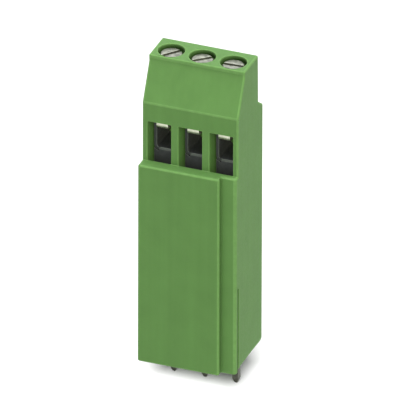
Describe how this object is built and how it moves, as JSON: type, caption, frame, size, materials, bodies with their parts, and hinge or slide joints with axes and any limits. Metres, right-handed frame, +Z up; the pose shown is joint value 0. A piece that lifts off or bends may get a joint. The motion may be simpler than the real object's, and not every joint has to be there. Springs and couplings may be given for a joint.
{
  "type": "pcb screw terminal",
  "caption": "Tall one-row screw terminal for circuit boards: green moulded housing, with a screw, a rising clamp cage, a current bar and a square solder pin in each pole.",
  "frame": {"origin": "middle of the row of solder pins, on the board's upper surface", "axes": "+Z up from the board, +X along the row, -Y towards the wire entries"},
  "size_m": [0.0158, 0.0124, 0.0566],
  "materials": {
    "housing_plastic": "fine matt moulding in green",
    "guide_plastic": "fine matt moulding in green",
    "screw_steel": "zinc plated",
    "cage_steel": "nickel plated sheet",
    "bar_metal": "tinned strip",
    "pin_metal": "tinned"
  },
  "bodies": {
    "housing": {"housing": "housing_plastic", "pin_guide": "guide_plastic", "current_bar_1": "bar_metal", "solder_pin_1": "pin_metal", "current_bar_2": "bar_metal", "solder_pin_2": "pin_metal", "current_bar_3": "bar_metal", "solder_pin_3": "pin_metal"},
    "screw_1": {"screw_1": "screw_steel"},
    "clamp_cage_1": {"clamp_cage_1": "cage_steel"},
    "screw_2": {"screw_2": "screw_steel"},
    "clamp_cage_2": {"clamp_cage_2": "cage_steel"},
    "screw_3": {"screw_3": "screw_steel"},
    "clamp_cage_3": {"clamp_cage_3": "cage_steel"}
  },
  "joints": [
    {"name": "screw_turn_1", "type": "hinge", "parent": "housing", "child": "screw_1", "pos_m": [-0.00508, -0.0015, 0.045], "axis": [0, 0, -1], "range_deg": [0, 2800]},
    {"name": "cage_rise_1", "type": "slide", "parent": "housing", "child": "clamp_cage_1", "axis": [0, 0, 1], "range_m": [0, 0.0035]},
    {"name": "screw_turn_2", "type": "hinge", "parent": "housing", "child": "screw_2", "pos_m": [0, -0.0015, 0.045], "axis": [0, 0, -1], "range_deg": [0, 2800]},
    {"name": "cage_rise_2", "type": "slide", "parent": "housing", "child": "clamp_cage_2", "axis": [0, 0, 1], "range_m": [0, 0.0035]},
    {"name": "screw_turn_3", "type": "hinge", "parent": "housing", "child": "screw_3", "pos_m": [0.00508, -0.0015, 0.045], "axis": [0, 0, -1], "range_deg": [0, 2800]},
    {"name": "cage_rise_3", "type": "slide", "parent": "housing", "child": "clamp_cage_3", "axis": [0, 0, 1], "range_m": [0, 0.0035]}
  ],
  "couplings": [
    {"joint": "screw_turn_1", "follows": "cage_rise_1", "rad_per_m": 13963},
    {"joint": "screw_turn_2", "follows": "cage_rise_2", "rad_per_m": 13963},
    {"joint": "screw_turn_3", "follows": "cage_rise_3", "rad_per_m": 13963}
  ]
}
